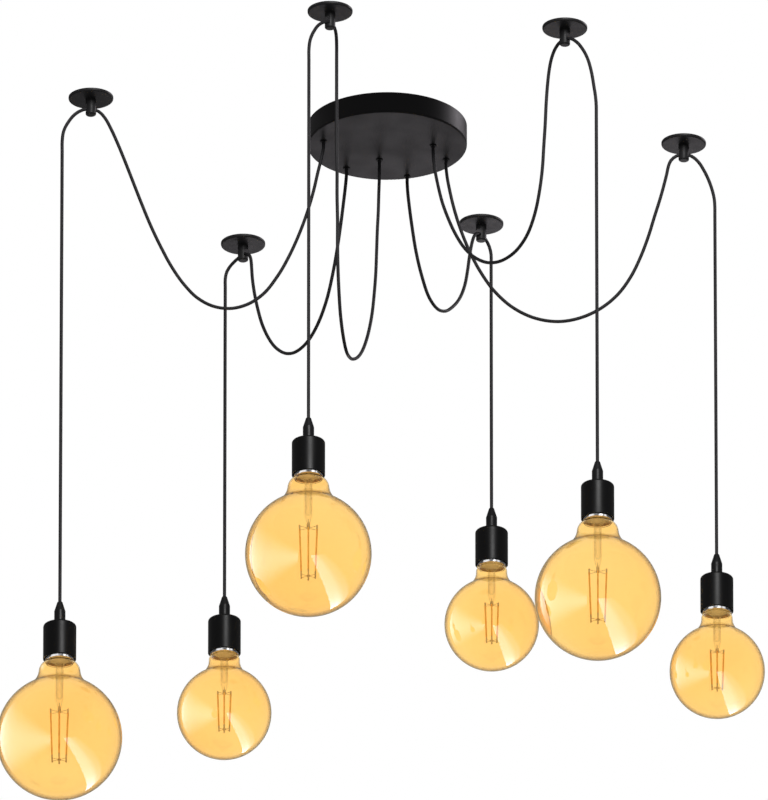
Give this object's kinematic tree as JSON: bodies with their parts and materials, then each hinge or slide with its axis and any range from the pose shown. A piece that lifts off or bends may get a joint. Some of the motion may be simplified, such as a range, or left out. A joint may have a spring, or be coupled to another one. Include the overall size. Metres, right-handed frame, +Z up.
{
  "type": "spider pendant light",
  "caption": "Ceiling canopy with long black flexes swagged over ceiling hooks, each ending in a black lamp holder with a gold-tinted globe bulb.",
  "frame": {"origin": "centre of the canopy's ceiling bracket, in the plane of the ceiling", "axes": "+Z up through the ceiling, +X along the bracket to the viewer's right, +Y away from the viewer"},
  "size_m": [0.7645, 0.683, 0.7701],
  "materials": {
    "satin_black_metal": "satin black powder coat",
    "zinc_steel": "zinc-plated steel",
    "black_screw": "blackened steel",
    "white_insulator": "glazed white",
    "black_plastic": "matte black",
    "hook_black": "satin black",
    "grip_black": "satin black",
    "black_flex": "smooth black sheath",
    "contact_brass": "bare brass",
    "cap_chrome": "bright nickel",
    "amber_glass": "clear gold-tinted glass",
    "filament": "orange coated filament"
  },
  "bodies": {
    "ceiling_set": {"canopy_cup": "satin_black_metal", "ceiling_bracket": "zinc_steel", "canopy_screws": "black_screw", "terminal_block": "white_insulator", "cord_bushings": "black_plastic", "ceiling_hooks": "hook_black", "swag_cord_1": "black_flex", "swag_cord_2": "black_flex", "swag_cord_3": "black_flex", "swag_cord_4": "black_flex", "swag_cord_5": "black_flex", "swag_cord_6": "black_flex"},
    "pendant_1": {"drop_cord_1": "black_flex", "cord_grip_1": "grip_black", "lamp_holder_1": "satin_black_metal", "socket_core_1": "white_insulator", "socket_contacts_1": "contact_brass"},
    "cap_1": {"bulb_cap_1": "cap_chrome"},
    "glass_1": {"bulb_globe_1": "amber_glass", "bulb_filament_1": "filament"},
    "pendant_2": {"drop_cord_2": "black_flex", "cord_grip_2": "grip_black", "lamp_holder_2": "satin_black_metal", "socket_core_2": "white_insulator", "socket_contacts_2": "contact_brass"},
    "cap_2": {"bulb_cap_2": "cap_chrome"},
    "glass_2": {"bulb_globe_2": "amber_glass", "bulb_filament_2": "filament"},
    "pendant_3": {"drop_cord_3": "black_flex", "cord_grip_3": "grip_black", "lamp_holder_3": "satin_black_metal", "socket_core_3": "white_insulator", "socket_contacts_3": "contact_brass"},
    "cap_3": {"bulb_cap_3": "cap_chrome"},
    "glass_3": {"bulb_globe_3": "amber_glass", "bulb_filament_3": "filament"},
    "pendant_4": {"drop_cord_4": "black_flex", "cord_grip_4": "grip_black", "lamp_holder_4": "satin_black_metal", "socket_core_4": "white_insulator", "socket_contacts_4": "contact_brass"},
    "cap_4": {"bulb_cap_4": "cap_chrome"},
    "glass_4": {"bulb_globe_4": "amber_glass", "bulb_filament_4": "filament"},
    "pendant_5": {"drop_cord_5": "black_flex", "cord_grip_5": "grip_black", "lamp_holder_5": "satin_black_metal", "socket_core_5": "white_insulator", "socket_contacts_5": "contact_brass"},
    "cap_5": {"bulb_cap_5": "cap_chrome"},
    "glass_5": {"bulb_globe_5": "amber_glass", "bulb_filament_5": "filament"},
    "pendant_6": {"drop_cord_6": "black_flex", "cord_grip_6": "grip_black", "lamp_holder_6": "satin_black_metal", "socket_core_6": "white_insulator", "socket_contacts_6": "contact_brass"},
    "cap_6": {"bulb_cap_6": "cap_chrome"},
    "glass_6": {"bulb_globe_6": "amber_glass", "bulb_filament_6": "filament"}
  },
  "joints": [
    {"name": "swing_1", "type": "hinge", "parent": "ceiling_set", "child": "pendant_1", "pos_m": [-0.3255, -0.075, -0.063], "axis": [1, 0, 0], "range_deg": [-15, 15]},
    {"name": "unscrew_drop_1", "type": "slide", "parent": "pendant_1", "child": "cap_1", "axis": [0, 0, -1], "range_m": [0, 0.01816]},
    {"name": "unscrew_turn_1", "type": "hinge", "parent": "cap_1", "child": "glass_1", "pos_m": [-0.3255, -0.075, -0.063], "axis": [0, 0, -1], "range_deg": [0, 1800]},
    {"name": "swing_2", "type": "hinge", "parent": "ceiling_set", "child": "pendant_2", "pos_m": [-0.164, 0.288, -0.042], "axis": [1, 0, 0], "range_deg": [-15, 15]},
    {"name": "unscrew_drop_2", "type": "slide", "parent": "pendant_2", "child": "cap_2", "axis": [0, 0, -1], "range_m": [0, 0.01816]},
    {"name": "unscrew_turn_2", "type": "hinge", "parent": "cap_2", "child": "glass_2", "pos_m": [-0.164, 0.288, -0.042], "axis": [0, 0, -1], "range_deg": [0, 1800]},
    {"name": "swing_3", "type": "hinge", "parent": "ceiling_set", "child": "pendant_3", "pos_m": [-0.078, -0.285, -0.062], "axis": [1, 0, 0], "range_deg": [-15, 15]},
    {"name": "unscrew_drop_3", "type": "slide", "parent": "pendant_3", "child": "cap_3", "axis": [0, 0, -1], "range_m": [0, 0.01816]},
    {"name": "unscrew_turn_3", "type": "hinge", "parent": "cap_3", "child": "glass_3", "pos_m": [-0.078, -0.285, -0.062], "axis": [0, 0, -1], "range_deg": [0, 1800]},
    {"name": "swing_4", "type": "hinge", "parent": "ceiling_set", "child": "pendant_4", "pos_m": [0.105, 0.24, -0.038], "axis": [1, 0, 0], "range_deg": [-15, 15]},
    {"name": "unscrew_drop_4", "type": "slide", "parent": "pendant_4", "child": "cap_4", "axis": [0, 0, -1], "range_m": [0, 0.01816]},
    {"name": "unscrew_turn_4", "type": "hinge", "parent": "cap_4", "child": "glass_4", "pos_m": [0.105, 0.24, -0.038], "axis": [0, 0, -1], "range_deg": [0, 1800]},
    {"name": "swing_5", "type": "hinge", "parent": "ceiling_set", "child": "pendant_5", "pos_m": [0.208, -0.249, -0.105], "axis": [1, 0, 0], "range_deg": [-15, 15]},
    {"name": "unscrew_drop_5", "type": "slide", "parent": "pendant_5", "child": "cap_5", "axis": [0, 0, -1], "range_m": [0, 0.01816]},
    {"name": "unscrew_turn_5", "type": "hinge", "parent": "cap_5", "child": "glass_5", "pos_m": [0.208, -0.249, -0.105], "axis": [0, 0, -1], "range_deg": [0, 1800]},
    {"name": "swing_6", "type": "hinge", "parent": "ceiling_set", "child": "pendant_6", "pos_m": [0.329, 0.038, -0.08], "axis": [1, 0, 0], "range_deg": [-15, 15]},
    {"name": "unscrew_drop_6", "type": "slide", "parent": "pendant_6", "child": "cap_6", "axis": [0, 0, -1], "range_m": [0, 0.01816]},
    {"name": "unscrew_turn_6", "type": "hinge", "parent": "cap_6", "child": "glass_6", "pos_m": [0.329, 0.038, -0.08], "axis": [0, 0, -1], "range_deg": [0, 1800]}
  ],
  "couplings": [
    {"joint": "unscrew_drop_1", "follows": "unscrew_turn_1", "m_per_rad": 0.00057757},
    {"joint": "unscrew_drop_2", "follows": "unscrew_turn_2", "m_per_rad": 0.00057757},
    {"joint": "unscrew_drop_3", "follows": "unscrew_turn_3", "m_per_rad": 0.00057757},
    {"joint": "unscrew_drop_4", "follows": "unscrew_turn_4", "m_per_rad": 0.00057757},
    {"joint": "unscrew_drop_5", "follows": "unscrew_turn_5", "m_per_rad": 0.00057757},
    {"joint": "unscrew_drop_6", "follows": "unscrew_turn_6", "m_per_rad": 0.00057757}
  ]
}
